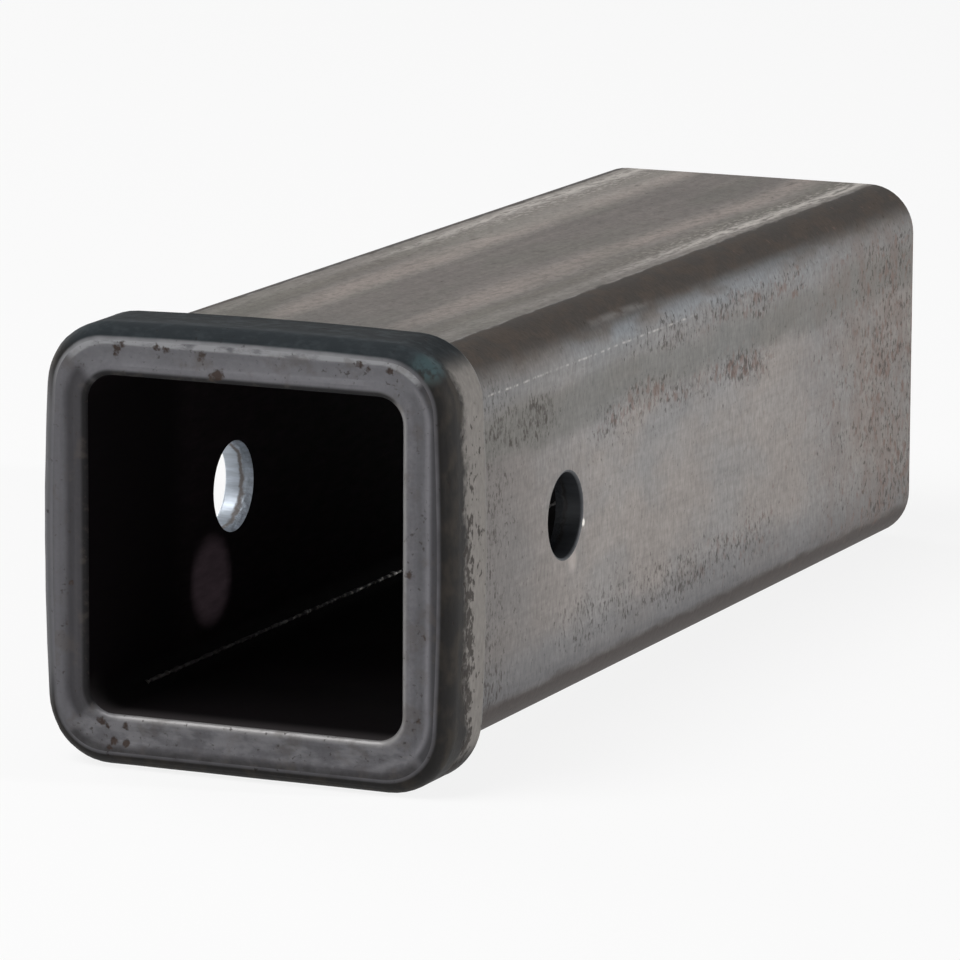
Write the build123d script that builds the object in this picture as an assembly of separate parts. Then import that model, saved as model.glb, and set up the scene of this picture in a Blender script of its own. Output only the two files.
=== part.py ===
"""Hitch receiver tube in raw steel.

A welded square tube is cut to length, and its mouth is upset hot into a thick rounded
collar with a shallow groove round its face. A pin hole is punched through both side walls
behind the collar. The trimmed flash of the tube's seam still shows along the lower left
corner of the socket.

The tube lies along Y with its mouth towards -Y. The origin is the point where the pin's
axis crosses the tube's axis. All sizes are in millimetres.
"""

import os
from math import hypot, sqrt

from build123d import *

# Square tube
tube_side = 76.2
tube_wall = 5.9
tube_length = 254.0
tube_corner_radius = 10.0
socket_corner_radius = 5.0
saw_edge_chamfer = 0.35

# Collar upset at the mouth
collar_length = 16.8
collar_stand = 4.4  # crest of each side over the tube's side
collar_corner_stand = 3.2  # collar's upper corners over the tube's corners
collar_side_bow = 1.6  # swelling of the left and right sides
collar_top_bow = 0.9  # swelling of the top, while the bottom is flat
collar_face_radius = 3.6  # rounding from the mouth face to the sides
shoulder_crest_radius = 1.3
shoulder_root_radius = 0.9
mouth_lip_radius = 1.2

# Shallow groove pressed round the mouth face
groove_depth = 0.4
groove_rim = 0.8  # flat left beside the lip and beside the face's outer edge
groove_slope = 1.0  # width of each sloping wall

# Pin hole, punched from outside through each side wall
pin_setback = 63.5  # mouth face to the pin's axis
pin_hole_radius = 8.25
punch_roll_radius = 0.6  # edge drawn in where the punch enters
breakout_depth = 2.3  # torn cone where the punch leaves the wall
breakout_flare = 0.75

# Trimmed flash of the tube's seam
flash_radius = 0.55
flash_setback = 22.0  # mouth face to the start of the flash

# Places worked out from the sizes
tube_half = tube_side / 2
socket_half = tube_half - tube_wall
collar_half = tube_half + collar_stand
mouth_y = -pin_setback
collar_y = mouth_y + collar_length
cut_y = mouth_y + tube_length
corner_share = sqrt(2) - 1  # of a radius, taken off the reach of a square corner


def along_tube(section, start_y, end_y):
    """Section across the tube, X to the right and Z upwards, drawn out along Y."""
    across = Plane(origin=(0, end_y, 0), x_dir=(1, 0, 0), z_dir=(0, -1, 0))
    return extrude(across * section, end_y - start_y)


def flat_end(body, y):
    """Flat face that lies across the tube at y."""
    return body.faces().filter_by(Axis.Y).sort_by(lambda face: abs(face.center().Y - y))[0]


def square_tube():
    """Outside of the tube, with its rolled corners."""
    return along_tube(RectangleRounded(tube_side, tube_side, tube_corner_radius), mouth_y, cut_y)


def collar_outline(inset=0):
    """Collar seen from the mouth, or a line inside it: its sides and top swell, and its bottom is flat."""
    crest = collar_half - inset
    right = crest - collar_side_bow
    top = crest - collar_top_bow
    tube_corner_reach = sqrt(2) * tube_half - corner_share * tube_corner_radius
    line_corner_reach = tube_corner_reach + collar_corner_stand - inset
    corner_radius = (hypot(right, top) - line_corner_reach) / corner_share
    outline = make_face(
        [
            Line((-right, -crest), (right, -crest)),
            ThreePointArc((right, -crest), (crest, 0), (right, top)),
            ThreePointArc((right, top), (0, crest), (-right, top)),
            ThreePointArc((-right, top), (-crest, 0), (-right, -crest)),
        ]
    )
    return fillet(outline.vertices(), corner_radius)


def upset_collar():
    """Collar with its rounded face edge and the crest of its shoulder."""
    collar = along_tube(collar_outline(), mouth_y, collar_y)
    collar = fillet(flat_end(collar, mouth_y).edges(), collar_face_radius)
    return fillet(flat_end(collar, collar_y).edges(), shoulder_crest_radius)


def blank():
    """Solid tube and collar, one piece, with a fillet where the shoulder meets the tube."""
    body = square_tube() + upset_collar()
    shoulder_root = flat_end(body, collar_y).inner_wires()[0]
    return fillet(shoulder_root.edges(), shoulder_root_radius)


def open_socket(body):
    """Cuts the socket from end to end, rounds its lip and breaks the saw-cut edges."""
    socket_side = 2 * socket_half
    socket = RectangleRounded(socket_side, socket_side, socket_corner_radius)
    body -= along_tube(socket, mouth_y, cut_y)
    lip = flat_end(body, mouth_y).inner_wires()[0]
    body = fillet(lip.edges(), mouth_lip_radius)
    return chamfer(flat_end(body, cut_y).edges(), saw_edge_chamfer)


def press_groove(body):
    """Presses the groove into the mouth face, midway between the lip and the outer edge."""
    mouth = Plane(origin=(0, mouth_y, 0), x_dir=(1, 0, 0), z_dir=(0, -1, 0))
    bottom = mouth.offset(-groove_depth)

    def outer_edge(inset):
        return collar_outline(collar_face_radius + groove_rim + inset)

    def inner_edge(inset):
        margin = mouth_lip_radius + groove_rim + inset
        side = 2 * (socket_half + margin)
        return RectangleRounded(side, side, socket_corner_radius + margin)

    pressed, core = (
        loft([mouth * edge(0), bottom * edge(groove_slope)], ruled=True) for edge in (outer_edge, inner_edge)
    )
    return body - (pressed - core)


def punch_pin_hole(body):
    """Punches both side walls: edge drawn in outside, even land, torn cone inside."""
    land_x = socket_half + breakout_depth
    punched = Polyline(
        (0, 0),
        (0, pin_hole_radius + breakout_flare),
        (socket_half, pin_hole_radius + breakout_flare),
        (land_x, pin_hole_radius),
        (tube_side, pin_hole_radius),
        (tube_side, 0),
        close=True,
    )
    right_hole = revolve(make_face(punched), Axis.X)
    body -= right_hole + mirror(right_hole, Plane.YZ)
    rims = body.edges().filter_by(lambda edge: edge.is_closed)
    left_rim, *_, right_rim = rims.sort_by(Axis.X)
    return fillet([left_rim, right_rim], punch_roll_radius)


def seam_flash():
    """Bead along the middle of the socket's lower left corner."""
    corner = socket_half - socket_corner_radius * (1 - 1 / sqrt(2))
    bead = Pos(-corner, -corner) * Circle(flash_radius)
    return along_tube(bead, mouth_y + flash_setback, cut_y - saw_edge_chamfer)


receiver_tube = punch_pin_hole(press_groove(open_socket(blank()))) + seam_flash()

os.makedirs("parts", exist_ok=True)
export_step(receiver_tube, "parts/receiver_tube.step")
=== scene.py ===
"""Dresses the hitch receiver tube: raw mill steel, a forged collar and ragged weld flash in its socket."""

from functools import reduce
from math import atan2, degrees, hypot, pi, radians

import bmesh
import bpy
from bpy.props import FloatProperty, FloatVectorProperty, PointerProperty
from mathutils import Matrix, Vector, noise


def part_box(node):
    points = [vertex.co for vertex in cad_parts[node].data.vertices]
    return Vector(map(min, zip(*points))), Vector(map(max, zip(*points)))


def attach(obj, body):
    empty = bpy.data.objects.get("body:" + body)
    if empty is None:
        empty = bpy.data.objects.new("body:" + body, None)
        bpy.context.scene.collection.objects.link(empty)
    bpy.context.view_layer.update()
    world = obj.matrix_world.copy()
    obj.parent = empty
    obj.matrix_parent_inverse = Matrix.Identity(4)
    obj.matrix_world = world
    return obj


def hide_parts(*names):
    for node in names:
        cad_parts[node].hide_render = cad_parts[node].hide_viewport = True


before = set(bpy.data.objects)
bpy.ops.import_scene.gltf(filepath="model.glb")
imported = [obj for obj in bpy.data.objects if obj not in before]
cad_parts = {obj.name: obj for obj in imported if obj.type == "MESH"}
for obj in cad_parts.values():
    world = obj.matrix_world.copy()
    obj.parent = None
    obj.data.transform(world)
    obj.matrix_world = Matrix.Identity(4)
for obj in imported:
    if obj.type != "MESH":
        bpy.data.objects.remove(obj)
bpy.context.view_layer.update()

bl_info = {
    "name": "Receiver Tube Dresser",
    "version": (1, 0, 0),
    "blender": (4, 5, 0),
    "location": "View3D > Sidebar > Receiver",
    "description": "Gives a forged-collar receiver tube its raw steel, mill scale, rust and studio stage",
    "category": "Object",
}

TUBE = "receiver_tube"
BODY = "root"

# Units: the scene is in metres, finishes are laid out in millimetres.
MM = 0.001
PER_METRE = 1000.0
HAIR = 0.05 * MM
TOUCHING = 0.001 * MM
low_corner, high_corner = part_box(TUBE)
mouth_y = low_corner.y
cut_y = high_corner.y
floor_contact_z = low_corner.z


def linear(hex_colour):
    """Turns an sRGB hex colour into linear RGBA."""
    channels = [int(hex_colour[start:start + 2], 16) / 255 for start in (1, 3, 5)]
    return tuple(c / 12.92 if c <= 0.04045 else ((c + 0.055) / 1.055) ** 2.4 for c in channels) + (1.0,)


def length(name, description, default):
    """A length that a user may change, in metres."""
    return FloatProperty(name=name, description=description, default=default,
                         min=0.0, unit="LENGTH", precision=5)


def colour(name, description, hex_colour):
    """A colour that a user may change."""
    return FloatVectorProperty(name=name, description=description, default=linear(hex_colour), size=4,
                               min=0.0, max=1.0, subtype="COLOR")


class ReceiverSizes(bpy.types.PropertyGroup):
    """Sizes that the finishes and the added pieces are laid out by."""

    tube_half: length("Tube half width", "From the tube's middle to its outer flats", 38.1 * MM)
    tube_corner: length("Tube corner", "Outer corner radius of the tube", 10.0 * MM)
    socket_half: length("Socket half width", "From the tube's middle to the socket's flats", 32.2 * MM)
    socket_corner: length("Socket corner", "Corner radius of the socket", 5.0 * MM)
    collar_length: length("Collar length", "How far the forged collar reaches along the tube", 16.8 * MM)
    shoulder_crest: length("Shoulder crest", "Rounding of the collar's back edge", 1.3 * MM)
    lip_round: length("Lip rounding", "Radius between the mouth face and the socket", 1.2 * MM)
    groove_depth: length("Groove depth", "How deep the groove in the mouth face is", 0.4 * MM)
    hole_radius: length("Pin hole radius", "Half the hitch pin hole", 8.25 * MM)
    hole_flare: length("Breakout flare", "How far the torn inner end of the hole opens out", 0.75 * MM)
    forge_depth: length("Forging unevenness", "How deep the hammered hollows on the collar are", 0.15 * MM)
    forge_width: length("Forging hollows", "How wide the hammered hollows on the collar are", 9.0 * MM)
    flash_corner: length("Flash place", "Across and down from the axis to the weld flash", 30.74 * MM)
    flash_radius: length("Flash radius", "Mean radius of the ragged weld flash", 0.5 * MM)
    flash_setback: length("Flash setback", "From the mouth to where the flash begins", 22.0 * MM)
    flash_step: length("Flash bead", "Length of one bead of the flash", 1.1 * MM)


class ReceiverColours(bpy.types.PropertyGroup):
    """Colours of the steel and what lies on it."""

    bare: colour("Rolled steel", "Warm grey of the rolled tube skin", "#8a8480")
    cool: colour("Blue scale", "Cool grey of thin scale by the corners", "#7b7d7f")
    pale: colour("Scuffed steel", "Bright steel where the skin is rubbed", "#bdb6af")
    brown: colour("Corner scale", "Olive-brown scale on the bent corners", "#322c27")
    rust: colour("Rust fleck", "Dark brown rust flecks", "#2f2823")
    blush: colour("Rust bloom", "Thin reddish bloom of rust", "#6f5b54")
    soot: colour("Fire scale", "Sooty black scale on the collar's rounding", "#1c1b1b")
    forge: colour("Forge scale", "Blue-black scale on top of the forged collar", "#1c2124")
    teal: colour("Temper tint", "Teal temper colour in the forge scale", "#46575a")
    face: colour("Mouth face", "Pressed grey steel of the mouth face", "#6d6c70")
    socket: colour("Socket scale", "Near-black scale inside the tube", "#2b2327")
    sheared: colour("Sheared steel", "Bright steel of the punched hole", "#bac2cc")
    sawn: colour("Sawn steel", "Bright steel of the cut end", "#9a9896")
    floor: colour("Floor", "Pale studio floor", "#f2f2f2")


def sizes():
    return bpy.context.scene.receiver_sizes


def colours():
    return bpy.context.scene.receiver_colours


# Nodes and finishes

SOFT = {"interpolation_type": "SMOOTHSTEP"}
SEED_STEPS = (1.0, 1.7, 2.3)  # how many clouds a seed of 1 moves the pattern by, along each axis
CLOUD_ROUGHNESS = 0.55
NOISE_GAIN = 2.5  # noise keeps near its middle, so a swing is widened by this much


class Wiring:
    """The nodes of one material, or of the world, as they are added."""

    def __init__(self, owner):
        owner.use_nodes = True
        self.tree = owner.node_tree
        self.tree.nodes.clear()

    def add(self, kind, *inputs, **settings):
        """Adds one node and gives back its first output in use.

        A kind may end in its operation, as Math.ADD does. Inputs are linked or set in the order in which
        the node shows them, or by name where a setting's name is an input's, with its capital letter.
        """
        kind, _, operation = kind.partition(".")
        node = self.tree.nodes.new("ShaderNode" + kind)
        if operation:
            node.operation = operation
        for name, value in settings.items():
            if not name[0].isupper():
                setattr(node, name, value)
        shown = [socket for socket in node.inputs if socket.enabled]
        values = list(zip(shown, inputs))
        values += [(node.inputs[name], value) for name, value in settings.items() if name[0].isupper()]
        for socket, value in values:
            if isinstance(value, bpy.types.NodeSocket):
                self.tree.links.new(value, socket)
            else:
                socket.default_value = value
        return next((socket for socket in node.outputs if socket.enabled), None)


class Finish(Wiring):
    """A steel finish under way: coats of colour, gloss and relief laid over one another, in millimetres."""

    def __init__(self, name, base, metal, rough, gloss=0.5):
        self.material = bpy.data.materials.new(name)
        super().__init__(self.material)
        metres = self.add("TexCoord").node.outputs["Object"]
        self.place = self.add("VectorMath.MULTIPLY", metres, (PER_METRE,) * 3)
        self.x, self.y, self.z = self.add("SeparateXYZ", self.place).node.outputs
        self.deep = self.add("Math.SUBTRACT", self.y, mouth_y / MM)
        self.colour = tuple(base)
        self.metal = metal
        self.rough = rough
        self.gloss = gloss
        self.height = 0.0

    def overlap(self, *masks):
        """Mask of where all the masks lie; a plain number thins or thickens the mask."""
        return reduce(lambda first, second: self.add("Math.MULTIPLY", first, second), masks)

    def either(self, *masks):
        """Mask of where any of the masks lies."""
        return reduce(lambda first, second: self.add("Math.MAXIMUM", first, second), masks)

    def band(self, value, start, end, soft):
        """Mask between start and end, fading over soft to either side of them."""
        rising = self.add("MapRange", value, start - soft, start + soft, **SOFT)
        falling = self.add("MapRange", value, end + soft, end - soft, **SOFT)
        return self.overlap(rising, falling)

    def blot(self, place, rim, middle):
        """Round mask about a place, full within middle and gone at rim, both in mm."""
        away = self.add("VectorMath.DISTANCE", self.place, place)
        return self.add("MapRange", away, rim, middle, **SOFT)

    def cloud(self, width, stretch=(1, 1, 1), detail=3.0, seed=0.0):
        """Cloudy noise from 0 to 1; width is one cloud's size in mm, and stretch lengthens it by axis."""
        clouds_per_mm = tuple(1 / (width * share) for share in stretch)
        shift = tuple(seed * step for step in SEED_STEPS)
        place = self.add("VectorMath.MULTIPLY_ADD", self.place, clouds_per_mm, shift)
        return self.add("TexNoise", place, Scale=1.0, Detail=detail, Roughness=CLOUD_ROUGHNESS)

    def patches(self, width, level, soft=0.06, stretch=(1, 1, 1), detail=4.0, seed=0.0):
        """Mask of ragged patches where the cloud stands above level."""
        cloud = self.cloud(width, stretch, detail, seed)
        return self.add("MapRange", cloud, level - soft, level + soft, **SOFT)

    def pepper(self, width, crowd, stretch=(1, 1, 1), seed=0.0):
        """Mask of fine ragged flecks, few where crowd is 0 and close together where it is 1."""
        crowding = 0.2
        fleck_rim = 0.65
        fleck_middle = 0.78
        grain = self.add("Math.MULTIPLY_ADD", crowd, crowding, self.cloud(width, stretch, seed=seed))
        return self.add("MapRange", grain, fleck_rim, fleck_middle, **SOFT)

    def sway(self, value, width, reach, stretch=(1, 1, 1), seed=0.0):
        """The value, made to waver by about reach to either side over clouds of that width."""
        swing = NOISE_GAIN * reach
        cloud = self.cloud(width, stretch, detail=4.0, seed=seed)
        return self.add("Math.ADD", value, self.add("Math.MULTIPLY_ADD", cloud, 2 * swing, -swing))

    def past_flats(self, flat):
        """How far a place lies past the ends of a square's flats, across and up, in mm."""
        reaches = [self.add("Math.ABSOLUTE", axis) for axis in (self.x, self.z)]
        return [self.add("Math.MAXIMUM", self.add("Math.SUBTRACT", reach, flat), 0.0) for reach in reaches]

    def off_square(self, half, corner):
        """Distance in mm outwards from a square with rounded corners, about the tube's axis."""
        across, up = self.past_flats(half - corner)
        arm = self.add("VectorMath.LENGTH", self.add("CombineXYZ", across, up))
        return self.add("Math.SUBTRACT", arm, corner)

    def spots(self, places, soft=0.35):
        """Mask of spots on the mouth face, each given as (x, z, radius) in mm, with ragged rims."""
        reach = 1.0
        waves_per_mm = 1.2
        ragged = self.add("TexNoise", self.place, Scale=waves_per_mm, Detail=3.0).node.outputs["Color"]
        shift = self.add("VectorMath.MULTIPLY_ADD", ragged, (2 * reach,) * 3, (-reach,) * 3)
        flat = self.add("VectorMath.MULTIPLY", self.add("VectorMath.ADD", self.place, shift), (1, 0, 1))
        masks = []
        for x, z, radius in places:
            away = self.add("VectorMath.DISTANCE", flat, (x, 0, z))
            masks.append(self.add("MapRange", away, radius + soft, radius - soft, **SOFT))
        return self.either(*masks)

    def coat(self, tint, *masks, strength=1.0, metal=None, rough=None):
        """Lays a coat over what is there, where all the masks lie; strength is the share that shows."""
        mask = self.overlap(*masks, strength)
        self.colour = self.add("Mix", mask, self.colour, tuple(tint), data_type="RGBA")
        if metal is not None:
            self.metal = self.add("Mix", mask, self.metal, metal)
        if rough is not None:
            self.rough = self.add("Mix", mask, self.rough, rough)

    def shade(self, value, low, high):
        """Multiplies the colour by a factor that goes from low to high as value goes from 0.25 to 0.75."""
        factor = self.add("MapRange", value, 0.25, 0.75, low, high)
        self.colour = self.add("Mix", 1.0, self.colour, factor, data_type="RGBA", blend_type="MULTIPLY")

    def relief(self, value, height):
        """Raises the surface by up to height mm where value is 1; a pit has a negative height."""
        self.height = self.add("Math.MULTIPLY_ADD", value, height, self.height)

    def close(self):
        """Joins the coats to the shader."""
        bump = self.add("Bump", Height=self.height, Strength=1.0, Distance=MM)
        coats = {"Base Color": self.colour, "Specular IOR Level": self.gloss}
        shader = self.add("BsdfPrincipled", Metallic=self.metal, Roughness=self.rough, Normal=bump, **coats)
        self.add("OutputMaterial", shader)
        return self.material


class TubeSkin(Finish):
    """The tube's rolled skin, with the masks of its flats, sides and corners that its coats share."""

    def __init__(self):
        super().__init__("hot_rolled_steel_skin", colours().bare, metal=0.3, rough=0.58, gloss=0.25)
        across, up = self.past_flats((sizes().tube_half - sizes().tube_corner) / MM)
        self.turn = self.add("Math.MULTIPLY", self.add("Math.ARCTAN2", across, up), degrees(1.0))
        self.on_flat = self.add("MapRange", self.turn, 4.0, 1.0, **SOFT)
        self.on_side = self.add("MapRange", self.turn, 60.0, 86.0, **SOFT)
        self.upper = self.add("MapRange", self.z, -4.0, 4.0, **SOFT)
        self.lower = self.add("MapRange", self.z, 4.0, -4.0, **SOFT)
        self.near = self.add("MapRange", self.deep, 80.0, 24.0, **SOFT)
        self.far = self.add("MapRange", self.deep, 95.0, 190.0, **SOFT)
        self.belt_z = self.sway(self.z, width=14.0, reach=2.0, stretch=(1, 2.5, 1), seed=4.0)
        off_middle = self.add("Math.ABSOLUTE", self.x)
        self.lane = self.sway(off_middle, width=16.0, reach=1.4, stretch=(1, 5, 1), seed=8.0)

    def belt(self, low, high, blur, start, end, fade):
        """Mask of a belt along the side, between two heights and from start to end."""
        return self.overlap(self.band(self.belt_z, low, high, blur), self.band(self.deep, start, end, fade))

    def tint_sides(self):
        """Warm grey that cools in broad clouds, dusky below the upper corner and above the lower one."""
        cool_clouds = self.patches(20.0, 0.52, soft=0.12, stretch=(1, 1.6, 1), seed=3.0)
        self.coat(colours().cool, cool_clouds, strength=0.45, metal=0.35, rough=0.52)
        self.coat(linear("#6a6664"), self.near, self.on_side, strength=0.85, metal=0.25)
        dusky = self.band(self.belt_z, 17.0, 25.5, soft=2.5)
        self.coat(linear("#64635f"), dusky, self.on_side, strength=0.75, metal=0.25)
        below_corner = self.add("MapRange", self.belt_z, 24.0, 28.0, **SOFT)
        self.coat(linear("#6f7274"), below_corner, self.on_side, strength=0.45, metal=0.35, rough=0.5)
        low = self.add("MapRange", self.belt_z, -19.0, -26.0, **SOFT)
        self.coat(linear("#646466"), low, self.on_side, strength=0.65, metal=0.3)
        lowest = self.add("MapRange", self.z, -26.5, -30.5, **SOFT)
        self.coat(linear("#59585a"), lowest, self.on_side, strength=0.75, metal=0.25)

    def draw_lanes(self):
        """Lanes and streaks that the rolls drew along the top and underside, with wavering edges."""
        self.coat(linear("#7b7570"), self.on_flat, metal=0.3, rough=0.55)
        middle_lane = self.add("MapRange", self.lane, 12.5, 6.5, **SOFT)
        self.coat(linear("#6b6460"), self.on_flat, middle_lane, strength=0.85)
        pale_lane = self.band(self.lane, 11.5, 17.0, soft=2.2)
        self.coat(linear("#968a83"), self.on_flat, pale_lane, strength=0.8, metal=0.35, rough=0.52)
        olive_lane = self.band(self.lane, 19.5, 23.5, soft=1.8)
        self.coat(linear("#615c54"), self.on_flat, olive_lane, strength=0.7, metal=0.25, rough=0.58)
        self.coat(linear("#5f5d58"), self.on_flat, self.near, strength=0.6)
        long_stains = self.patches(12.0, 0.55, soft=0.08, stretch=(1, 4, 1), seed=17.0)
        self.coat(linear("#66655c"), self.on_flat, long_stains, strength=0.4)
        small_stains = self.patches(1.5, 0.55, soft=0.1, stretch=(1, 2.2, 1), detail=5.0, seed=45.0)
        self.coat(linear("#554e48"), self.on_flat, small_stains, strength=0.42)
        streak = self.add("Math.SUBTRACT", self.cloud(2.2, stretch=(1, 60, 1), detail=4.0, seed=3.0), 0.5)
        less_on_sides = self.add("MapRange", self.on_side, 0.0, 1.0, 1.0, 0.3)
        drawn = self.add("Math.MULTIPLY_ADD", streak, less_on_sides, 0.5)
        self.shade(drawn, 0.86, 1.14)
        self.shade(self.cloud(0.7, stretch=(1, 14, 1), seed=35.0), 0.93, 1.07)
        self.shade(self.cloud(13.0, stretch=(1, 1.5, 1), detail=4.0, seed=39.0), 0.9, 1.1)
        to_the_left = self.add("MapRange", self.x, -9.0, -16.0, **SOFT)
        self.coat(colours().pale, self.on_flat, to_the_left, self.far, strength=0.22)
        self.relief(drawn, 0.05)

    def rub_edges(self):
        """Pale steel rubbed bare in streaks along both edges of the flats, most of all at the far end."""
        rubbed = {"metal": 0.55, "rough": 0.45}
        worn = self.add("Math.MULTIPLY_ADD", self.far, 0.95, 0.12)
        edge = self.band(self.lane, 24.2, 27.0, soft=1.1)
        crumbs = self.patches(1.1, 0.47, soft=0.1, stretch=(1, 6, 1), detail=5.0, seed=5.0)
        self.coat(colours().pale, self.on_flat, edge, crumbs, worn, **rubbed)
        wide_edge = self.band(self.lane, 20.5, 27.5, soft=1.5)
        fine_crumbs = self.patches(0.8, 0.55, soft=0.1, stretch=(1, 3, 1), detail=3.0, seed=25.0)
        self.coat(colours().pale, self.on_flat, wide_edge, fine_crumbs, worn, strength=0.45, **rubbed)

    def scale_corners(self):
        """Brown scale on the corners: the upper fades into a painted cool highlight, the lower is cut short.
        """
        ragged = self.sway(self.turn, width=2.4, reach=3.0, stretch=(1, 3.5, 1), seed=21.0)
        from_flat = self.add("MapRange", ragged, 1.5, 6.5, **SOFT)
        fading = self.add("MapRange", self.turn, 88.0, 46.0, **SOFT)
        upper_scale = self.overlap(from_flat, fading, self.upper)
        self.coat(colours().brown, upper_scale, strength=0.97, metal=0.1, rough=0.6)
        mottled = self.patches(4.0, 0.53, soft=0.1, stretch=(1, 2, 1), detail=5.0, seed=41.0)
        self.coat(linear("#4a3f36"), upper_scale, mottled, strength=0.45, metal=0.1, rough=0.65)
        cut_short = self.add("MapRange", ragged, 83.0, 69.0, **SOFT)
        self.coat(linear("#332b28"), from_flat, cut_short, self.lower, strength=0.95, metal=0.1, rough=0.62)
        # Painted highlight: a cool pale band where the upper corners turn down to the side, broken into
        # patches.
        below_scale = self.band(self.turn, 60.0, 84.0, soft=12.0)
        middle_stretch = self.band(self.deep, 70.0, 205.0, soft=22.0)
        painted_highlight_breakup = self.patches(8.0, 0.45, soft=0.12, stretch=(1, 3, 1), detail=3.0, seed=6.0)
        painted_highlight_place = self.overlap(below_scale, middle_stretch, self.upper)
        self.coat(linear("#848c93"), painted_highlight_place, painted_highlight_breakup, strength=0.5, metal=0.5, rough=0.42)

    def weave_grain(self):
        """Linen grain: short threads up and down the side, crossed by fainter ones along it."""
        warp = self.cloud(0.8, stretch=(1, 1, 2.2), detail=4.0, seed=7.0)
        weft = self.cloud(0.8, stretch=(1, 3.5, 1), seed=19.0)
        self.shade(warp, 0.78, 1.22)
        self.shade(weft, 0.95, 1.05)
        self.relief(warp, 0.05)

    def rust(self):
        """A thin reddish bloom at the far end, then dark flecks that crowd in belts."""
        end_zone = self.add("MapRange", self.deep, 170.0, 245.0, **SOFT)
        bloom = self.patches(4.5, 0.52, soft=0.12, stretch=(1, 1.2, 1.6), detail=5.0, seed=2.0)
        self.coat(colours().blush, bloom, self.on_side, end_zone, strength=0.5, rough=0.65)
        self.coat(linear("#716d69"), self.on_side, end_zone, strength=0.4)

        collar_belt = self.belt(18.0, 25.5, blur=2.0, start=24.0, end=58.0, fade=4.0)
        mid_belt = self.belt(11.0, 19.0, blur=3.0, start=78.0, end=170.0, fade=12.0)
        top_belt = self.belt(24.5, 33.0, blur=1.5, start=95.0, end=200.0, fade=12.0)
        low_belt = self.belt(-27.0, -17.0, blur=3.0, start=60.0, end=170.0, fade=15.0)
        by_collar = self.add("MapRange", self.deep, 50.0, 22.0, **SOFT)
        sparser = self.overlap(self.either(top_belt, low_belt, by_collar, end_zone), 0.8)
        gathering = self.patches(7.0, 0.5, soft=0.15, stretch=(1, 1.6, 1), seed=9.0)
        gathered = self.add("Math.MULTIPLY_ADD", gathering, 0.45, 0.45)
        most_on_sides = self.add("Math.MULTIPLY_ADD", self.on_side, 0.85, 0.15)
        crowd = self.overlap(self.either(collar_belt, mid_belt, sparser), gathered, most_on_sides)

        flecks = self.pepper(1.05, self.overlap(crowd, 1.05), stretch=(1, 1, 1.5), seed=1.0)
        self.coat(colours().rust, flecks, strength=0.62, metal=0.0, rough=0.8)
        specks = self.pepper(0.8, crowd, stretch=(1, 1, 1.6), seed=31.0)
        self.coat(colours().rust, specks, strength=0.45, metal=0.0, rough=0.75)
        reddish = self.pepper(1.8, self.overlap(crowd, 1.15), stretch=(1, 1, 1.5), seed=14.0)
        reddened = self.either(self.far, mid_belt)
        self.coat(colours().blush, reddish, reddened, strength=0.6, metal=0.0, rough=0.75)
        self.relief(flecks, -0.02)

    def scratch(self):
        """Marks on the right: a thin broken scratch, a smear above it, a burr with a painted glint, and a
        scuff by the hole.
        """
        on_right = self.add("MapRange", self.x, 30.0, 32.0, **SOFT)
        wandering = self.sway(self.z, width=12.0, reach=0.15, seed=49.0)
        line = self.band(wandering, 28.9, 29.25, soft=0.18)
        broken = self.patches(2.2, 0.54, soft=0.1, stretch=(9, 1, 9), detail=5.0, seed=12.0)
        line_reach = self.band(self.deep, 26.0, 128.0, soft=3.0)
        self.coat(linear("#c9c5c1"), line, on_right, broken, line_reach, strength=0.55, metal=0.7, rough=0.4)
        smear = self.band(self.z, 33.9, 34.9, soft=0.5)
        smear_reach = self.band(self.deep, 80.0, 108.0, soft=5.0)
        smudged = self.patches(2.0, 0.46, soft=0.12, stretch=(3, 3, 1), detail=5.0, seed=16.0)
        self.coat(linear("#807d7b"), smear, smear_reach, on_right, smudged, strength=0.5, metal=0.3)
        # Painted highlight: a near-white glint on the burr at the pin hole's rim.
        burr_glint = self.blot((38.0, 8.7, -2.9), rim=1.0, middle=0.4)
        self.coat(linear("#efeae4"), burr_glint, metal=0.8, rough=0.35)
        scuff = self.blot((38.1, 3.5, -9.6), rim=3.2, middle=0.6)
        self.coat(linear("#b3aaa4"), scuff, strength=0.55, metal=0.5, rough=0.45)


def rolled_tube_skin():
    """Hot-rolled tube: warm grey with a linen grain, drawn streaks, brown scaled corners, rust flecks."""
    skin = TubeSkin()
    skin.tint_sides()
    skin.draw_lanes()
    skin.rub_edges()
    skin.scale_corners()
    skin.weave_grain()
    skin.rust()
    skin.scratch()
    return skin.close()


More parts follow.
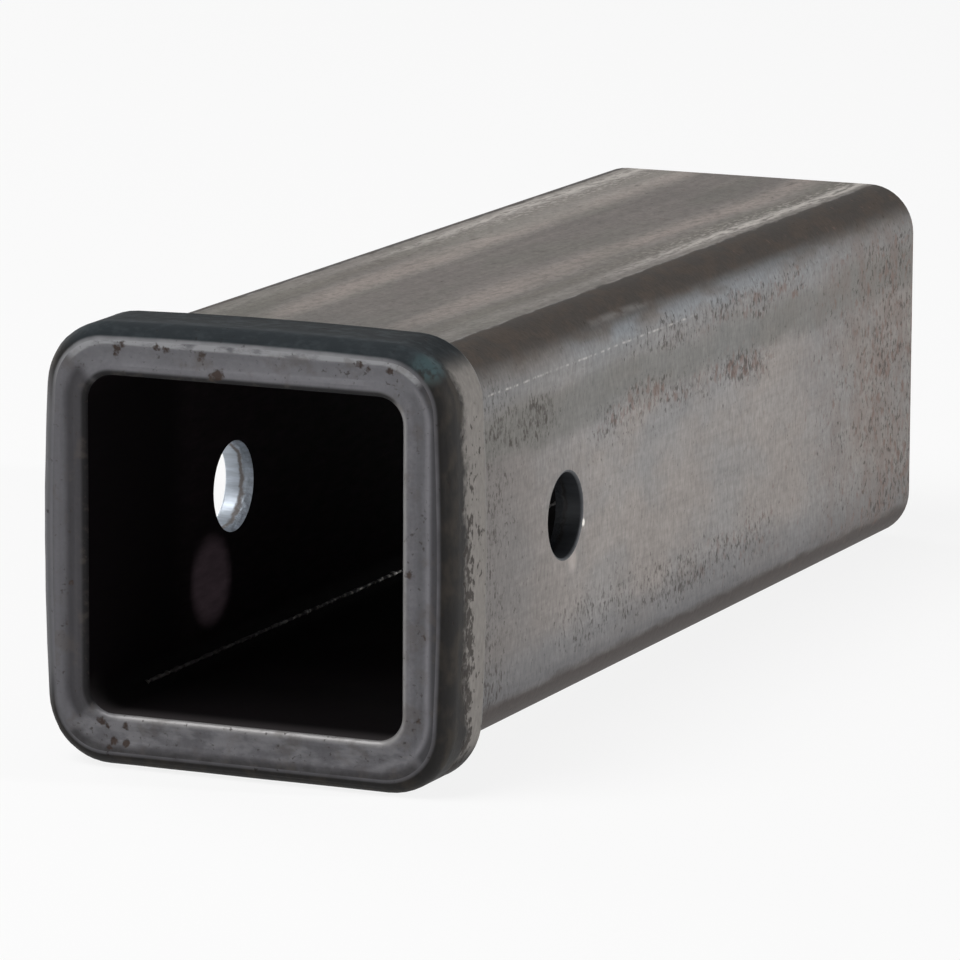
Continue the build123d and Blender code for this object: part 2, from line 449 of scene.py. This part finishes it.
def forge_scaled_collar():
    """Hot-forged collar: blue-black fire scale on its rounding and top, rubbed warm grey on its sides."""
    tints = colours()
    skin = Finish("forge_scaled_steel", linear("#7a7672"), metal=0.2, rough=0.6, gloss=0.12)
    mottle = skin.cloud(6.0, detail=5.0, seed=2.0)
    grain = skin.cloud(0.9, stretch=(1, 1, 2), seed=6.0)
    skin.shade(grain, 0.82, 1.18)

    # The scale covers the rounding all round, further back low down, and the whole top and underside.
    low_spread = skin.add("MapRange", skin.z, -12.0, -38.0, 3.6, 6.4, **SOFT)
    reach = skin.add("Math.MULTIPLY_ADD", mottle, 5.0, low_spread)
    past_reach = skin.add("Math.SUBTRACT", skin.deep, reach)
    past = skin.sway(past_reach, width=2.0, reach=0.9, seed=23.0)
    rounding = skin.add("MapRange", past, 2.2, -1.0, **SOFT)
    top = skin.add("MapRange", skin.add("Math.ADD", skin.z, mottle), 36.0, 41.0, **SOFT)
    under = skin.add("MapRange", skin.z, -33.0, -38.0, **SOFT)
    skin.coat(tints.soot, skin.either(rounding, top, under), strength=0.97, metal=0.05, rough=0.6)
    olive = skin.patches(3.5, 0.56, soft=0.12, stretch=(1, 1, 1.6), detail=5.0, seed=33.0)
    skin.coat(linear("#453f38"), rounding, olive, strength=0.4, metal=0.1, rough=0.65)
    skin.coat(tints.forge, top, strength=0.9, metal=0.05, rough=0.72)
    front_of_top = skin.add("MapRange", skin.deep, 8.0, 2.0, **SOFT)
    skin.coat(linear("#343a3e"), top, front_of_top, strength=0.6, metal=0.1)
    paler = skin.patches(2.0, 0.57, soft=0.1, stretch=(1.6, 1, 1), detail=5.0, seed=47.0)
    skin.coat(linear("#4b5256"), top, paler, strength=0.25, metal=0.15)
    upper_right_corner = skin.blot((36.5, -61.5, 38.0), rim=4.5, middle=1.0)
    tempered = skin.patches(2.5, 0.45, soft=0.1, detail=3.0, seed=8.0)
    skin.coat(tints.teal, upper_right_corner, tempered, strength=0.9, metal=0.3, rough=0.5)

    # Rubbed steel: a line where the rounding meets the mouth face, with a painted highlight along its top,
    # the left rounding, and the back edge, which also has a painted highlight.
    uneven = skin.add("Math.ADD", skin.cloud(5.0, seed=11.0), 0.25)
    brink = skin.overlap(skin.add("MapRange", skin.deep, 0.3, 0.03, **SOFT), uneven)
    skin.coat(tints.face, brink, metal=0.3, rough=0.5)
    high = skin.add("MapRange", skin.z, 16.0, 36.0, **SOFT)
    short_of_right = skin.add("MapRange", skin.x, 36.0, 22.0, **SOFT)
    # Painted highlight: a bright line along the top of where the rounding meets the mouth face.
    skin.coat(linear("#a9aaac"), brink, high, short_of_right, strength=0.6, metal=0.4, rough=0.5)
    left_side = skin.add("MapRange", skin.x, -37.0, -40.0, **SOFT)
    between_corners = skin.band(skin.z, -28.0, 30.0, soft=6.0)
    front = skin.add("MapRange", skin.deep, 5.0, 2.0, **SOFT)
    skin.coat(linear("#77777b"), left_side, between_corners, front, strength=0.6, metal=0.3, rough=0.5)
    # Rubbed steel and a painted highlight along the collar's back edge.
    back_edge_rub_and_highlight = skin.add("MapRange", skin.deep, 15.2, 15.9, **SOFT)
    worn = skin.patches(5.0, 0.45, soft=0.1, seed=15.0)
    skin.coat(linear("#6f7274"), back_edge_rub_and_highlight, worn, strength=0.5, metal=0.4, rough=0.5)

    # Dark crumbs of scale where the rounding gives way to the bare side.
    below_middle = skin.add("MapRange", skin.z, 24.0, 4.0, **SOFT)
    fringe = skin.overlap(skin.band(past, -0.5, 3.8, soft=1.5), below_middle)
    flecks = skin.pepper(1.7, skin.overlap(fringe, 1.25), stretch=(1, 1, 1.2), seed=3.0)
    below_top = skin.add("MapRange", skin.z, 33.0, 27.0, **SOFT)
    clumps = skin.patches(5.0, 0.5, soft=0.1, stretch=(1, 1, 1.5), detail=3.0, seed=43.0)
    wide_fringe = skin.overlap(skin.band(past, 0.0, 8.0, soft=2.0), clumps, 0.65)
    fine_flecks = skin.overlap(skin.pepper(1.2, wide_fringe, stretch=(1, 1, 1.3), seed=13.0), below_top)
    skin.coat(linear("#292422"), skin.either(flecks, fine_flecks), strength=0.8, metal=0.0, rough=0.75)
    skin.relief(flecks, -0.06)
    skin.relief(mottle, 0.15)
    skin.relief(grain, 0.05)
    return skin.close()


# Rust spots on the mouth face, as (x, z, radius) in mm: on its top, bottom and upright limbs.
RUST_SPOTS = (
    (-26.3, 36.4, 0.5), (-25.7, 37.5, 0.7), (-24.6, 38.4, 0.5), (-17.6, 38.3, 0.6), (-15.6, 38.0, 0.5),
    (-8.9, 36.6, 0.4), (-8.2, 37.5, 0.6), (-6.4, 33.4, 0.6), (-5.0, 33.9, 1.1), (23.9, 38.1, 0.6),
    (25.6, 37.4, 0.4), (30.0, 37.3, 0.7),
    (-29.3, -33.9, 0.8), (-28.1, -34.6, 0.5), (-27.6, -38.6, 0.5), (-26.8, -37.5, 0.7),
    (-24.3, -34.3, 0.6), (-24.3, -37.5, 0.7),
    (-36.8, -15.7, 0.3), (-35.7, -7.9, 0.3), (33.9, -0.4, 0.7), (35.7, -27.6, 0.35), (36.8, -11.9, 0.3),
)


def pressed_mouth_face():
    """Cold-pressed mouth face: even grey steel, dull in its shallow groove, painted highlights on its lips,
    rust spots.
    """
    face = Finish("pressed_steel_face", colours().face, metal=0.3, rough=0.48, gloss=0.3)
    ring = face.off_square(sizes().socket_half / MM, sizes().socket_corner / MM)
    limb = face.add("Math.SUBTRACT", face.add("Math.ABSOLUTE", face.x), face.add("Math.ABSOLUTE", face.z))
    upright = face.add("MapRange", limb, -2.0, 2.0, **SOFT)
    level = face.add("MapRange", limb, 2.0, -2.0, **SOFT)
    top_limb = face.overlap(level, face.add("MapRange", face.z, 0.0, 10.0, **SOFT))
    bottom_limb = face.overlap(level, face.add("MapRange", face.z, 0.0, -10.0, **SOFT))
    left_limb = face.overlap(upright, face.add("MapRange", face.x, -20.0, -30.0, **SOFT))
    right_limb = face.overlap(upright, face.add("MapRange", face.x, 20.0, 30.0, **SOFT))
    face.shade(face.cloud(7.0, detail=5.0, seed=1.0), 0.78, 1.16)
    face.shade(face.cloud(0.8, seed=29.0), 0.88, 1.12)
    drag = face.add("Math.SUBTRACT", face.cloud(1.3, stretch=(1, 1, 18), seed=4.0), 0.5)
    face.shade(face.add("Math.MULTIPLY_ADD", drag, upright, 0.5), 0.86, 1.14)

    # The upright limbs: dirt and painted shade in the groove, an outer rim rubbed and painted with a
    # highlight, the left dark inside and the right outside.
    # Painted shade and highlight: the groove darker and its outer rim lighter, on the upright limbs only.
    groove = face.band(ring, 3.0, 4.6, soft=0.9)
    face.coat(linear("#47474a"), groove, upright, strength=0.4, metal=0.25, rough=0.52)
    groove_rim_rub_and_highlight = face.band(ring, 5.0, 6.9, soft=0.6)
    face.coat(linear("#88878c"), groove_rim_rub_and_highlight, upright, strength=0.4, metal=0.35, rough=0.45)
    face.coat(linear("#3d3c40"), left_limb, strength=0.4, metal=0.25, rough=0.52)
    inner_half = face.add("MapRange", ring, 5.0, 3.6, **SOFT)
    face.coat(linear("#2c2a2d"), left_limb, inner_half, strength=0.7, metal=0.15)
    outer_rim = face.add("MapRange", ring, 5.2, 6.5, **SOFT)
    face.coat(linear("#232225"), right_limb, outer_rim, strength=0.8, metal=0.15)

    # The level limbs: the top with a painted highlight along its outer edge, the bottom smeared and dark
    # along its own.
    face.coat(linear("#727276"), top_limb, strength=0.4, metal=0.35, rough=0.45)
    smears = face.patches(3.0, 0.5, soft=0.1, stretch=(2.2, 1, 1), seed=3.0)
    face.coat(linear("#48474a"), bottom_limb, strength=0.4, metal=0.3, rough=0.5)
    face.coat(linear("#8b8a8d"), bottom_limb, smears, strength=0.45, metal=0.4, rough=0.45)
    towards_edge = face.add("MapRange", ring, 4.8, 7.0, **SOFT)
    dark_edge = face.sway(towards_edge, width=2.5, reach=0.15, seed=37.0)
    face.coat(linear("#2b292a"), bottom_limb, dark_edge, strength=0.8, metal=0.1, rough=0.6)
    # Painted highlight: a broken bright line along the top limb's outer edge.
    outer_edge = face.add("MapRange", ring, 5.8, 6.3, **SOFT)
    broken_highlight = face.patches(1.6, 0.42, soft=0.12, stretch=(2.5, 1, 1), seed=27.0)
    face.coat(linear("#a9aaac"), top_limb, outer_edge, broken_highlight, strength=0.6, metal=0.5, rough=0.45)

    # The lip has a painted highlight along the bottom and the right, and is near black along the left and
    # the top.
    # Painted highlight: a bright line on the lip along the bottom and the right.
    lip = face.add("MapRange", ring, 1.5, 0.5, **SOFT)
    lowest = face.add("MapRange", face.z, -29.0, -31.5, **SOFT)
    low_lip = face.overlap(lowest, face.add("MapRange", face.x, -33.0, -20.0, **SOFT))
    highlit_sides = face.either(face.add("MapRange", face.x, 20.0, 31.0, **SOFT), low_lip)
    face.coat(linear("#a09e9d"), lip, highlit_sides, strength=0.7, metal=0.5, rough=0.45)
    inner_lip = face.add("MapRange", ring, 1.5, 0.7, **SOFT)
    darkened = face.either(left_limb, top_limb)
    face.coat(linear("#0e0c0e"), inner_lip, darkened, strength=0.92, metal=0.0, rough=0.7)

    # Rust spots, thin brown stains and specks.
    rust = face.spots(RUST_SPOTS)
    face.coat(linear("#382a22"), rust, strength=0.9, metal=0.0, rough=0.8)
    stains = face.patches(4.0, 0.6, soft=0.08, seed=9.0)
    face.coat(linear("#57504b"), stains, strength=0.35, metal=0.1, rough=0.6)
    specks = face.pepper(1.0, crowd=0.22, seed=5.0)
    face.coat(linear("#38322f"), specks, strength=0.7, metal=0.1, rough=0.7)
    face.relief(rust, -0.1)
    face.relief(specks, -0.05)
    face.relief(face.cloud(2.2, detail=4.0, seed=6.0), 0.08)
    return face.close()


def black_socket_scale():
    """Inside of the tube: soot-black mill scale, dull, with painted shade deeper in and a painted pale
    highlight on the floor just inside the mouth.
    """
    wall = Finish("black_socket_scale", colours().socket, metal=0.0, rough=0.75, gloss=0.03)
    grain = wall.cloud(1.5, stretch=(1, 4, 1), detail=4.0, seed=2.0)
    wall.shade(grain, 0.7, 1.3)
    # Painted shade: the socket is painted darker from about 40 mm in.
    shade_behind_mouth = wall.add("MapRange", wall.deep, 46.0, 34.0, **SOFT)
    wall.coat(linear("#0e0b0d"), shade_behind_mouth, strength=0.9)
    on_floor = wall.add("MapRange", wall.z, -24.0, -31.5, **SOFT)
    wall.coat(linear("#0d0b0c"), on_floor, strength=0.8)
    # Painted light: a paler, glossier patch on the socket's floor just inside the lip.
    lit_floor_at_lip = wall.add("MapRange", wall.deep, 8.0, 0.5, **SOFT)
    wall.coat(linear("#4a4647"), on_floor, lit_floor_at_lip, strength=0.7, metal=0.3, rough=0.5)
    wall.relief(grain, 0.04)
    return wall.close()


def sheared_hole_wall():
    """Punched hole: smooth sheared land next to the outside, a brown line, a bright torn breakout inside."""
    wall = Finish("sheared_steel", colours().sheared, metal=0.45, rough=0.42, gloss=0.4)
    inner = sizes().socket_half / MM
    lines = wall.cloud(0.9, stretch=(7, 1, 1), seed=1.0)
    wall.shade(lines, 0.75, 1.2)
    across = wall.add("Math.ABSOLUTE", wall.x)
    seam = wall.add("Math.MULTIPLY_ADD", wall.cloud(1.5, seed=3.0), 1.6, across)
    brown_line = wall.band(seam, inner + 2.6, inner + 3.4, soft=0.3)
    wall.coat(linear("#6a5a4c"), brown_line, strength=0.75, metal=0.1, rough=0.7)
    # Painted shade: the right-hand hole's wall is painted near black, while the left-hand one keeps its
    # bright sheared steel.
    on_right = wall.add("MapRange", wall.x, 0.0, 5.0, **SOFT)
    wall.coat(linear("#19191b"), on_right, strength=0.93, metal=0.1, rough=0.5)
    torn = wall.add("MapRange", seam, inner + 3.2, inner + 2.4, **SOFT)
    wall.relief(wall.overlap(wall.cloud(0.9, seed=6.0), torn), 0.3)
    wall.relief(lines, 0.06)
    return wall.close()


def sawn_end():
    """Band-sawn end: bright steel with fine parallel tooth lines and a little rust bloom."""
    end = Finish("sawn_steel", colours().sawn, metal=0.7, rough=0.4)
    teeth = end.cloud(0.8, stretch=(1, 1, 40), detail=2.0, seed=1.0)
    end.shade(teeth, 0.85, 1.12)
    bloom = end.patches(6.0, 0.58, soft=0.08, seed=3.0)
    end.coat(colours().blush, bloom, strength=0.5, metal=0.2, rough=0.65)
    end.relief(teeth, 0.06)
    return end.close()


def torn_weld_flash():
    """Weld flash from the tube's seam: ragged beads of steel with dark gaps, darker at both ends."""
    flash = Finish("torn_weld_flash", linear("#efeae5"), metal=0.4, rough=0.4)
    gaps = flash.patches(2.0, 0.49, soft=0.05, seed=2.0)
    flash.coat(linear("#2a2423"), gaps, strength=0.9, metal=0.0, rough=0.7)
    near_end = flash.add("MapRange", flash.deep, 140.0, 50.0, **SOFT)
    far_end = flash.add("MapRange", flash.deep, 175.0, 205.0, **SOFT)
    darkened = flash.either(near_end, far_end)
    flash.coat(linear("#46413f"), darkened, strength=0.9, metal=0.2, rough=0.6)
    flash.relief(gaps, -0.1)
    return flash.close()


# Pieces

def keep_piece(name, mesh, materials):
    """Adds a finished mesh to the scene as a piece of the tube."""
    piece = bpy.data.objects.new(name, mesh)
    bpy.context.scene.collection.objects.link(piece)
    for material in materials:
        mesh.materials.append(material)
    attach(piece, BODY)
    return piece


FINISHES = (
    rolled_tube_skin,
    forge_scaled_collar,
    pressed_mouth_face,
    black_socket_scale,
    sheared_hole_wall,
    sawn_end,
)
SKIN, COLLAR, FACE, SOCKET, HOLE, END = range(len(FINISHES))


def off_socket(place):
    """How far a place lies outside the socket's rounded square, in the tube's section."""
    size = sizes()
    straight = size.socket_half - size.socket_corner
    over = hypot(max(abs(place.x) - straight, 0.0), max(abs(place.z) - straight, 0.0))
    return over - size.socket_corner


def zone_of(face):
    """Says which finish a face of the tube has, from where it lies and how it faces."""
    size = sizes()
    middle = face.calc_center_median()
    depth = middle.y - mouth_y
    reach = max(abs(middle.x), abs(middle.z))
    ring = off_socket(middle)
    square_on = 0.98
    nearly_square_on = 0.9
    groove_middle = 4.0 * MM
    root = 0.5 * MM
    from_pin = hypot(middle.y, middle.z)
    in_hole = from_pin < size.hole_radius + size.hole_flare + HAIR and reach > size.socket_half - HAIR
    leaning_in = face.normal.x * middle.x + face.normal.z * middle.z < 0
    if in_hole and abs(face.normal.x) < square_on:
        return HOLE
    if middle.y > cut_y - HAIR:
        return END
    if ring < HAIR:
        return SOCKET
    if depth < size.lip_round and ring < size.lip_round + HAIR:
        return FACE
    if depth < size.groove_depth + HAIR and -face.normal.y > square_on:
        return FACE
    if depth < size.groove_depth + HAIR and -face.normal.y > nearly_square_on:
        if ring < groove_middle or leaning_in:
            return FACE
    if depth < size.collar_length + root:
        return COLLAR
    return SKIN


def cut_across(shell, reach, count, axis):
    """Cuts the collar's faces by evenly spaced planes, so that it can be hammered out of true."""
    size = sizes()
    normal = Vector((axis == "X", axis == "Y", axis == "Z"))
    start, end = reach
    for step in range(1, count):
        place = normal * (start + (end - start) * step / count)
        faces = [face for face in shell.faces if face.calc_center_median().y < mouth_y + size.collar_length]
        edges = {edge for face in faces for edge in face.edges}
        verts = {vert for face in faces for vert in face.verts}
        bmesh.ops.bisect_plane(shell, geom=list(verts) + list(edges) + faces,
                               plane_co=place, plane_no=normal, dist=TOUCHING)


def hammer_collar(shell):
    """Gives the collar's sides the shallow hollows of a forging, always inwards."""
    size = sizes()
    strips_along = 9
    strips_across = 18
    face_margin = 0.6 * MM
    shoulder_margin = 1.6 * MM
    least_stand = 1.0 * MM
    cut_across(shell, (mouth_y, mouth_y + size.collar_length), strips_along, "Y")
    for axis in "XZ":
        cut_across(shell, (-high_corner.x, high_corner.x), strips_across, axis)
    shell.normal_update()
    for vert in shell.verts:
        depth = vert.co.y - mouth_y
        stand = max(abs(vert.co.x), abs(vert.co.z)) - size.tube_half
        inside_edges = min(depth - face_margin, size.collar_length - shoulder_margin - depth)
        if inside_edges > 0 and stand > least_stand:
            hollow = 0.5 + 0.5 * noise.noise(vert.co / size.forge_width)
            vert.co -= vert.normal * size.forge_depth * hollow


def flatten_plain_bead(shell):
    """Presses the solid's plain round bead down, so that the ragged flash stands in its place."""
    size = sizes()
    left_over = 0.3
    bead_reach = 1.2 * size.flash_radius
    axis = Vector((-size.flash_corner, 0, -size.flash_corner))
    for vert in shell.verts:
        arm = Vector((vert.co.x, 0, vert.co.z)) - axis
        inwards = arm.x + arm.z
        if arm.length < bead_reach and inwards > 2 * HAIR:
            vert.co -= arm * (1 - left_over)


def draw_ragged_bead(bead, start):
    """Draws a round bead out along the tube, ring by ring, each ring swollen and pitted by noise."""
    size = sizes()
    end_margin = 0.5 * MM
    mean_girth = 0.75
    swell = 0.6
    swells_per_metre = 900
    swell_row_x = 7.3
    swell_row_z = 1.1
    pit = 0.35
    pits_per_metre = 1400
    around_y = Matrix.Translation(start) @ Matrix.Rotation(pi / 2, 4, "X")
    ring = bmesh.ops.create_circle(bead, cap_ends=True, radius=size.flash_radius, segments=8,
                                   matrix=around_y)
    front = list({face for vert in ring["verts"] for face in vert.link_faces})
    for step in range(int((cut_y - end_margin - start.y) / size.flash_step)):
        grown = bmesh.ops.extrude_face_region(bead, geom=front)["geom"]
        if step:
            bmesh.ops.delete(bead, geom=front, context="FACES_ONLY")
        ring_verts = [item for item in grown if isinstance(item, bmesh.types.BMVert)]
        front = [item for item in grown if isinstance(item, bmesh.types.BMFace)]
        bmesh.ops.translate(bead, verts=ring_verts, vec=(0, size.flash_step, 0))
        middle = sum((vert.co for vert in ring_verts), Vector()) / len(ring_verts)
        swell_place = Vector((swell_row_x, middle.y * swells_per_metre, swell_row_z))
        girth = mean_girth + swell * noise.noise(swell_place)
        centre = Vector((start.x, middle.y, start.z))
        for vert in ring_verts:
            arm = (vert.co - middle).normalized()
            pitted = 1 + pit * noise.noise(vert.co * pits_per_metre)
            vert.co = centre + arm * size.flash_radius * girth * pitted


class RECEIVER_OT_dress_tube(bpy.types.Operator):
    """Copies the tube's solid, hammers its collar a little and gives each zone its finish"""

    bl_idname = "receiver.dress_tube"
    bl_label = "Dress Tube"

    def execute(self, context):
        shell = bmesh.new()
        shell.from_mesh(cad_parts[TUBE].data)
        bmesh.ops.remove_doubles(shell, verts=shell.verts, dist=TOUCHING)
        hammer_collar(shell)
        flatten_plain_bead(shell)
        shell.normal_update()
        for face in shell.faces:
            face.material_index = zone_of(face)
            face.smooth = True
        sharp_turn = radians(32)
        for edge in shell.edges:
            edge.smooth = edge.calc_face_angle(0.0) < sharp_turn
        mesh = bpy.data.meshes.new("steel_tube")
        shell.to_mesh(mesh)
        shell.free()
        piece = keep_piece("steel_tube", mesh, [finish() for finish in FINISHES])
        flats_first = piece.modifiers.new("flats_first", "WEIGHTED_NORMAL")
        flats_first.keep_sharp = True
        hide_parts(TUBE)
        return {"FINISHED"}


class RECEIVER_OT_lay_flash(bpy.types.Operator):
    """Lays the ragged weld flash along the socket's lower left corner"""

    bl_idname = "receiver.lay_flash"
    bl_label = "Lay Weld Flash"

    def execute(self, context):
        size = sizes()
        start = Vector((-size.flash_corner, mouth_y + size.flash_setback, -size.flash_corner))
        bead = bmesh.new()
        draw_ragged_bead(bead, start)
        bmesh.ops.recalc_face_normals(bead, faces=bead.faces)
        mesh = bpy.data.meshes.new("seam_flash")
        bead.to_mesh(mesh)
        bead.free()
        keep_piece("seam_flash", mesh, [torn_weld_flash()])
        return {"FINISHED"}


class RECEIVER_OT_set_stage(bpy.types.Operator):
    """Sets the pale floor, the soft studio light and the camera"""

    bl_idname = "receiver.set_stage"
    bl_label = "Set Stage"

    def execute(self, context):
        lay_floor()
        hang_lights()
        light_world()
        aim_camera()
        context.scene.view_settings.view_transform = "Standard"
        return {"FINISHED"}


# Stage

def lay_floor():
    """A pale floor that meets the collar's back edge and the tube's far end, as the tube leans on it."""
    size = sizes()
    floor_reach = 4.0
    under_foot = Vector((0, 0, 0.02 * MM))
    collar_foot = Vector((0, mouth_y + size.collar_length - size.shoulder_crest, floor_contact_z))
    end_foot = Vector((0, cut_y, -size.tube_half))
    lean = atan2(end_foot.z - collar_foot.z, end_foot.y - collar_foot.y)
    sheet = bmesh.new()
    tilt = Matrix.Translation(collar_foot - under_foot) @ Matrix.Rotation(lean, 4, "X")
    bmesh.ops.create_grid(sheet, x_segments=1, y_segments=1, size=floor_reach, matrix=tilt)
    mesh = bpy.data.meshes.new("studio_floor")
    sheet.to_mesh(mesh)
    sheet.free()
    floor = bpy.data.objects.new("studio_floor", mesh)
    bpy.context.scene.collection.objects.link(floor)
    mesh.materials.append(pale_floor_paint())


def seen_directly(wiring):
    """1 for rays from the camera and those that metal or glass sends on, so all see the same backdrop."""
    rays = wiring.add("LightPath").node.outputs
    shown = wiring.add("Math.MAXIMUM", rays["Is Camera Ray"], rays["Is Glossy Ray"])
    return wiring.add("Math.MAXIMUM", shown, rays["Is Transmission Ray"])


def pale_floor_paint():
    """Matt white floor paint: near white to the eye, with the object's soft shadow kept."""
    material = bpy.data.materials.new("matt_floor_paint")
    paint = Wiring(material)
    backdrop_share = 0.85
    matt = paint.add("BsdfDiffuse", tuple(colours().floor))
    glow = paint.add("Emission", (1, 1, 1, 1), 1.0)
    glow_share = paint.add("Math.MULTIPLY", seen_directly(paint), backdrop_share)
    paint.add("OutputMaterial", paint.add("MixShader", glow_share, matt, glow))
    return material


def hang_light(name, direction, distance, width, power):
    """Hangs a square soft light off in a direction, facing the tube."""
    lamp = bpy.data.lights.new(name, "AREA")
    lamp.shape = "SQUARE"
    lamp.size = width
    lamp.energy = power
    light = bpy.data.objects.new(name, lamp)
    away = Vector(direction).normalized()
    facing = away.to_track_quat("Z", "Y").to_matrix().to_4x4()
    light.matrix_world = Matrix.Translation(away * distance) @ facing
    bpy.context.scene.collection.objects.link(light)


def hang_lights():
    """A low key light that shines through the pin hole, a broad light overhead and a weak one behind."""
    hang_light("key_light", (0.962, 0.143, 0.234), distance=2.2, width=0.1, power=27.0)
    hang_light("overhead_light", (-0.3, -0.45, 0.84), distance=2.0, width=1.2, power=27.0)
    hang_light("fill_light", (-0.85, 0.4, 0.35), distance=2.2, width=1.0, power=14.0)


def light_world():
    """White surroundings under a dim ceiling; they shed less light than they show to the eye."""
    world = bpy.data.worlds.new("white_studio")
    bpy.context.scene.world = world
    sky = Wiring(world)
    shed = 0.12
    ceiling = 0.2
    dimming_start = 0.1
    dimming_end = 0.75
    height = sky.add("SeparateXYZ", sky.add("TexCoord")).node.outputs["Z"]
    dimmer = sky.add("MapRange", height, dimming_start, dimming_end, 1.0, ceiling)
    strength = sky.add("MapRange", seen_directly(sky), 0.0, 1.0, shed, dimmer)
    sky.add("OutputWorld", sky.add("Background", (1, 1, 1, 1), strength))


def aim_camera():
    """A long lens from the front right, a little above the tube."""
    lens = 268.6
    place = Vector((0.56107, -1.23764, 0.26106))
    view = Vector((-0.39347, 0.90033, -0.18596))
    roll = radians(0.29)
    camera = bpy.data.cameras.new("photo_camera")
    camera.lens = lens
    camera.sensor_width = 36.0
    camera.clip_end = 50.0
    eye = bpy.data.objects.new("photo_camera", camera)
    turn = view.to_track_quat("-Z", "Y").to_matrix().to_4x4() @ Matrix.Rotation(roll, 4, "Z")
    eye.matrix_world = Matrix.Translation(place) @ turn
    bpy.context.scene.collection.objects.link(eye)
    bpy.context.scene.camera = eye


class VIEW3D_PT_receiver(bpy.types.Panel):
    """Lists the steps that dress the receiver tube"""

    bl_idname = "VIEW3D_PT_receiver"
    bl_label = "Receiver Tube"
    bl_space_type = "VIEW_3D"
    bl_region_type = "UI"
    bl_category = "Receiver"

    def draw(self, context):
        for step in STEPS:
            self.layout.operator(step.bl_idname)
        for group in (context.scene.receiver_sizes, context.scene.receiver_colours):
            column = self.layout.column(align=True)
            for name in group.__annotations__:
                column.prop(group, name)


STEPS = (RECEIVER_OT_dress_tube, RECEIVER_OT_lay_flash, RECEIVER_OT_set_stage)
CLASSES = (ReceiverSizes, ReceiverColours) + STEPS + (VIEW3D_PT_receiver,)


def register():
    for part in CLASSES:
        bpy.utils.register_class(part)
    bpy.types.Scene.receiver_sizes = PointerProperty(type=ReceiverSizes)
    bpy.types.Scene.receiver_colours = PointerProperty(type=ReceiverColours)


def unregister():
    del bpy.types.Scene.receiver_colours
    del bpy.types.Scene.receiver_sizes
    for part in reversed(CLASSES):
        bpy.utils.unregister_class(part)


def main():
    register()
    bpy.ops.receiver.dress_tube()
    bpy.ops.receiver.lay_flash()
    bpy.ops.receiver.set_stage()


if __name__ == "__main__":
    main()
